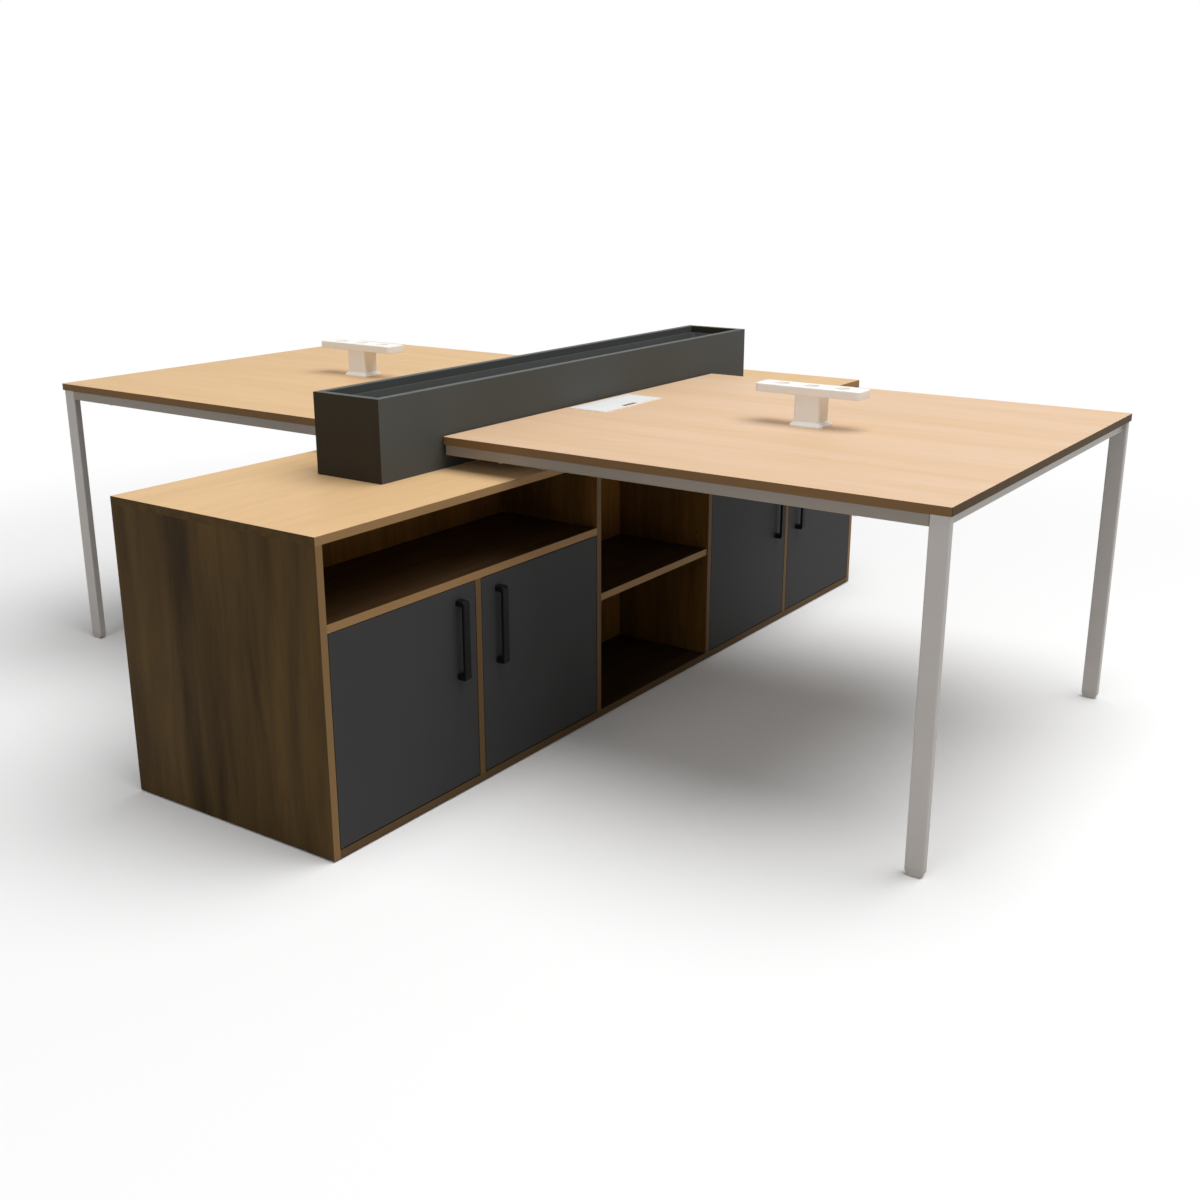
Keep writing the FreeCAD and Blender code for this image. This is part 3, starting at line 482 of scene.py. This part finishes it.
def screw_head(shape, turn, sizes):
    """A low domed head with a round recess, standing up along the matrix's own Z."""
    rings = [(1.0, 0.0), (1.0, 0.45), (0.86, 0.8), (0.62, 1.0)]
    loops = []
    for share, rise in rings:
        ring = circle_of_points(SCREW_POINTS, sizes.screw_radius * share, sizes.screw_height * rise)
        loops.append([shape.verts.new(turn @ point) for point in ring])
    for lift in (1.0, 0.35):
        ring = circle_of_points(SCREW_POINTS, sizes.screw_slot / 2, sizes.screw_height * lift)
        loops.append([shape.verts.new(turn @ point) for point in ring])
    for lower, upper in zip(loops, loops[1:]):
        for index in range(SCREW_POINTS):
            follower = (index + 1) % SCREW_POINTS
            shape.faces.new((lower[index], lower[follower], upper[follower], upper[index]))
    shape.faces.new(loops[-1])
    shape.faces.new(loops[0][::-1])


def circle_of_points(count, radius, level):
    steps = (2 * math.pi * index / count for index in range(count))
    return [Vector((radius * math.cos(step), radius * math.sin(step), level)) for step in steps]


class WORKSTATION_OT_planter(bpy.types.Operator):
    """Finish the planter's boards and its liner"""
    bl_idname = "workstation.planter"
    bl_label = "Planter"

    def execute(self, context):
        finish = context.scene.workstation_finish
        # Painted highlight on the boards' up-facing faces, and painted shade on the end walls and on the
        # side boards' end faces
        painted_rim_highlight = tuple(1.35 * part for part in finish.planter)
        sides = laminate("charcoal planter side", finish.planter, painted_rim_highlight, finish.planter_end)
        ends = laminate("charcoal planter end", finish.planter_end, painted_rim_highlight)
        finish_nodes([*(f"planter_side_{side}" for side in SIDES), "planter_floor"], sides)
        finish_nodes([f"planter_end_{end}" for end in ENDS], ends)
        finish_nodes(["planter_liner"], plastic("charcoal liner", finish.liner, 0.5))
        return {"FINISHED"}


class WORKSTATION_OT_steel_frame(bpy.types.Operator):
    """Finish the legs, rails, feet and standoffs under the worktops"""
    bl_idname = "workstation.steel_frame"
    bl_label = "Steel frame"

    def execute(self, context):
        finish = context.scene.workstation_finish
        steel = coated_steel("grey powder coat", finish.steel)
        finish_nodes([f"leg_frame_{side}" for side in SIDES], steel)
        rails = [f"side_rail_{side}_{end}" for side in SIDES for end in ENDS]
        rails += [f"cross_rail_{side}" for side in SIDES]
        # The rails' darker coat is painted shade
        finish_nodes(rails, coated_steel("grey rail coat", finish.rail))
        foot = tuple(0.9 * part for part in finish.steel)
        finish_nodes(["leg_feet"], plastic("grey foot", foot, 0.5))
        finish_nodes(["rail_standoffs"], coated_steel("black standoff", finish.black, 0.5))
        return {"FINISHED"}


class WORKSTATION_OT_cable_ports(bpy.types.Operator):
    """Finish the cable port frames and their lids"""
    bl_idname = "workstation.cable_ports"
    bl_label = "Cable ports"

    def execute(self, context):
        finish = context.scene.workstation_finish
        # Painted light: the ports are a lighter copy of the white plastic, standing in for the bright light
        # on their lids
        bright = tuple(min(1.0, 1.12 * part) for part in finish.white)
        white = plastic("white port", bright, 0.3)
        names = [f"cable_port_{part}_{side}" for part in ("frame", "lid") for side in SIDES]
        finish_nodes(names, white)
        return {"FINISHED"}


class WORKSTATION_OT_power_units(bpy.types.Operator):
    """Finish the posts, bars, sockets and clamp nuts of the power units"""
    bl_idname = "workstation.power_units"
    bl_label = "Power units"

    def execute(self, context):
        finish = context.scene.workstation_finish
        white = plastic("white power unit", finish.white, 0.34)
        names = [f"power_{part}_{side}" for part in ("post", "bar") for side in SIDES]
        finish_nodes([*names, "power_sockets"], white)
        finish_nodes(["post_clamp_nuts"], plastic("black nut", finish.black, 0.5))
        return {"FINISHED"}


class WORKSTATION_OT_hardware(bpy.types.Operator):
    """Finish the shelf pins, door pivots, rail screws and floor glides"""
    bl_idname = "workstation.hardware"
    bl_label = "Pins, screws and glides"

    def execute(self, context):
        finish = context.scene.workstation_finish
        finish_nodes(["shelf_pins"], brushed_steel("shelf pin steel", "y"))
        pivot = brushed_steel("blackened pivot steel", shade=PIVOT_SHADE)
        finish_nodes(["door_pivot_pins"], pivot)
        finish_nodes(["rail_screws"], brushed_steel("rail screw steel"))
        finish_nodes(["cabinet_glides"], plastic("black glide", finish.black, 0.55))
        return {"FINISHED"}


class WORKSTATION_OT_stage(bpy.types.Operator):
    """Set the floor, the studio light and the camera"""
    bl_idname = "workstation.stage"
    bl_label = "Studio stage"

    def execute(self, context):
        stage = context.scene.workstation_stage
        self.lay_floor(stage)
        self.light_world(context.scene, stage)
        self.hang_lamp("overhead lamp", OVERHEAD_PLACE, OVERHEAD_WIDTH, stage.overhead)
        self.hang_lamp("front lamp", FRONT_PLACE, FRONT_WIDTH, stage.front_lamp)
        self.set_camera(context.scene, stage)
        context.scene.view_settings.view_transform = "Standard"
        return {"FINISHED"}

    def lay_floor(self, stage):
        half = stage.floor_half
        mesh = bpy.data.meshes.new("floor")
        mesh.from_pydata([(-half, -half, 0), (half, -half, 0), (half, half, 0), (-half, half, 0)], [],
                         [(0, 1, 2, 3)])
        floor = bpy.data.objects.new("floor", mesh)
        bpy.context.scene.collection.objects.link(floor)
        mesh.materials.append(self.floor_material(stage))

    def floor_material(self, stage):
        """A pale matt floor that, to the camera, clears to white away from the workstation."""
        material, shader, start = new_material("pale floor", 0.1)
        shader.inputs["Base Color"].default_value = (*stage.floor_colour, 1.0)
        shader.inputs["Roughness"].default_value = 0.9
        reach = start.node("ShaderNodeVectorMath", {"operation": "LENGTH"}, {0: object_place(start)}, 1)
        away = start.node("ShaderNodeMapRange", {"interpolation_type": "SMOOTHSTEP"},
                          {"Value": reach, "From Min": stage.clear_from, "From Max": stage.clear_to})
        white = start.node("ShaderNodeEmission", None, {"Color": (1.0, 1.0, 1.0, 1.0), "Strength": 1.0})
        matt = Wire(material.node_tree, shader.outputs[0])
        mixed = start.node("ShaderNodeMixShader", None, {0: seen_plainly(start) * away, 1: matt, 2: white})
        output = next(item for item in material.node_tree.nodes if item.type == "OUTPUT_MATERIAL")
        link(mixed, output, "Surface")
        return material

    def light_world(self, scene, stage):
        world = bpy.data.worlds.new("studio")
        scene.world = world
        world.use_nodes = True
        tree = world.node_tree
        start = Wire(tree)
        background = next(item for item in tree.nodes if item.type == "BACKGROUND")
        background.inputs["Color"].default_value = (1.0, 1.0, 1.0, 1.0)
        link(stage.sky + seen_plainly(start) * (1.0 - stage.sky), background, "Strength")

    def hang_lamp(self, name, place, width, power):
        lamp = bpy.data.lights.new(name, "AREA")
        lamp.shape = "DISK"
        lamp.size = width
        lamp.energy = power
        holder = bpy.data.objects.new(name, lamp)
        holder.location = place
        aim = Vector(LAMP_TARGET) - Vector(place)
        holder.rotation_euler = aim.to_track_quat("-Z", "Y").to_euler()
        bpy.context.scene.collection.objects.link(holder)

    def set_camera(self, scene, stage):
        lens = bpy.data.cameras.new("camera")
        lens.sensor_width = SENSOR_WIDTH
        lens.lens = stage.lens
        camera = bpy.data.objects.new("camera", lens)
        camera.location = CAMERA_PLACE
        camera.rotation_euler = (math.radians(90 - CAMERA_DIP), 0.0, math.radians(CAMERA_TURN))
        scene.collection.objects.link(camera)
        scene.camera = camera


OPERATORS = (
    WORKSTATION_OT_worktops,
    WORKSTATION_OT_carcass,
    WORKSTATION_OT_doors,
    WORKSTATION_OT_planter,
    WORKSTATION_OT_steel_frame,
    WORKSTATION_OT_cable_ports,
    WORKSTATION_OT_power_units,
    WORKSTATION_OT_hardware,
    WORKSTATION_OT_stage,
)


class WORKSTATION_PT_panel(bpy.types.Panel):
    """Lists the pieces of the workstation"""
    bl_idname = "WORKSTATION_PT_panel"
    bl_label = "Workstation"
    bl_space_type = "VIEW_3D"
    bl_region_type = "UI"
    bl_category = "Workstation"

    def draw(self, context):
        for operator in OPERATORS:
            self.layout.operator(operator.bl_idname)
        for group in ("workstation_finish", "workstation_sizes", "workstation_stage"):
            settings = getattr(context.scene, group)
            for name in settings.__annotations__:
                self.layout.prop(settings, name)


GROUPS = {
    "workstation_finish": WorkstationFinish,
    "workstation_sizes": WorkstationSizes,
    "workstation_stage": WorkstationStage,
}


def register():
    for kind in (*GROUPS.values(), *OPERATORS, WORKSTATION_PT_panel):
        bpy.utils.register_class(kind)
    for name, kind in GROUPS.items():
        setattr(bpy.types.Scene, name, PointerProperty(type=kind))


def unregister():
    for name in GROUPS:
        delattr(bpy.types.Scene, name)
    for kind in (WORKSTATION_PT_panel, *OPERATORS[::-1], *GROUPS.values()):
        bpy.utils.unregister_class(kind)


def main():
    register()
    for operator in OPERATORS:
        family, piece = operator.bl_idname.split(".")
        getattr(getattr(bpy.ops, family), piece)()


if __name__ == "__main__":
    main()
